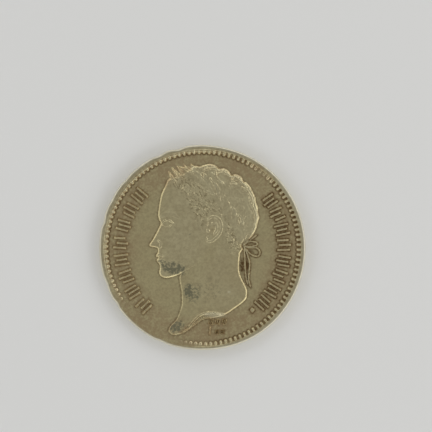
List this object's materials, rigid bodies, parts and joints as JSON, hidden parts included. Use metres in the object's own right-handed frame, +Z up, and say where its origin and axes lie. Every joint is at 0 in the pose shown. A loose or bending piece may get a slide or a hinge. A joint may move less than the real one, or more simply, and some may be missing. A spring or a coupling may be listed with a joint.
{
  "type": "gold coin",
  "caption": "Worn round gold coin lying flat, with a laureate head facing left in low relief, a toothed border and a wreath on the back.",
  "frame": {"origin": "on the surface that the coin lies on, below the middle of the coin", "axes": "+Z up through the coin's thickness, out of the head side; +X to the right of the head and +Y above it, as the coin is read"},
  "size_m": [0.0262, 0.0259, 0.0017],
  "materials": {
    "gold": "worn gold alloy, softly shining on the rim and the raised parts, dulled brown in the recesses"
  },
  "bodies": {
    "root": {"coin": "gold"}
  },
  "joints": []
}
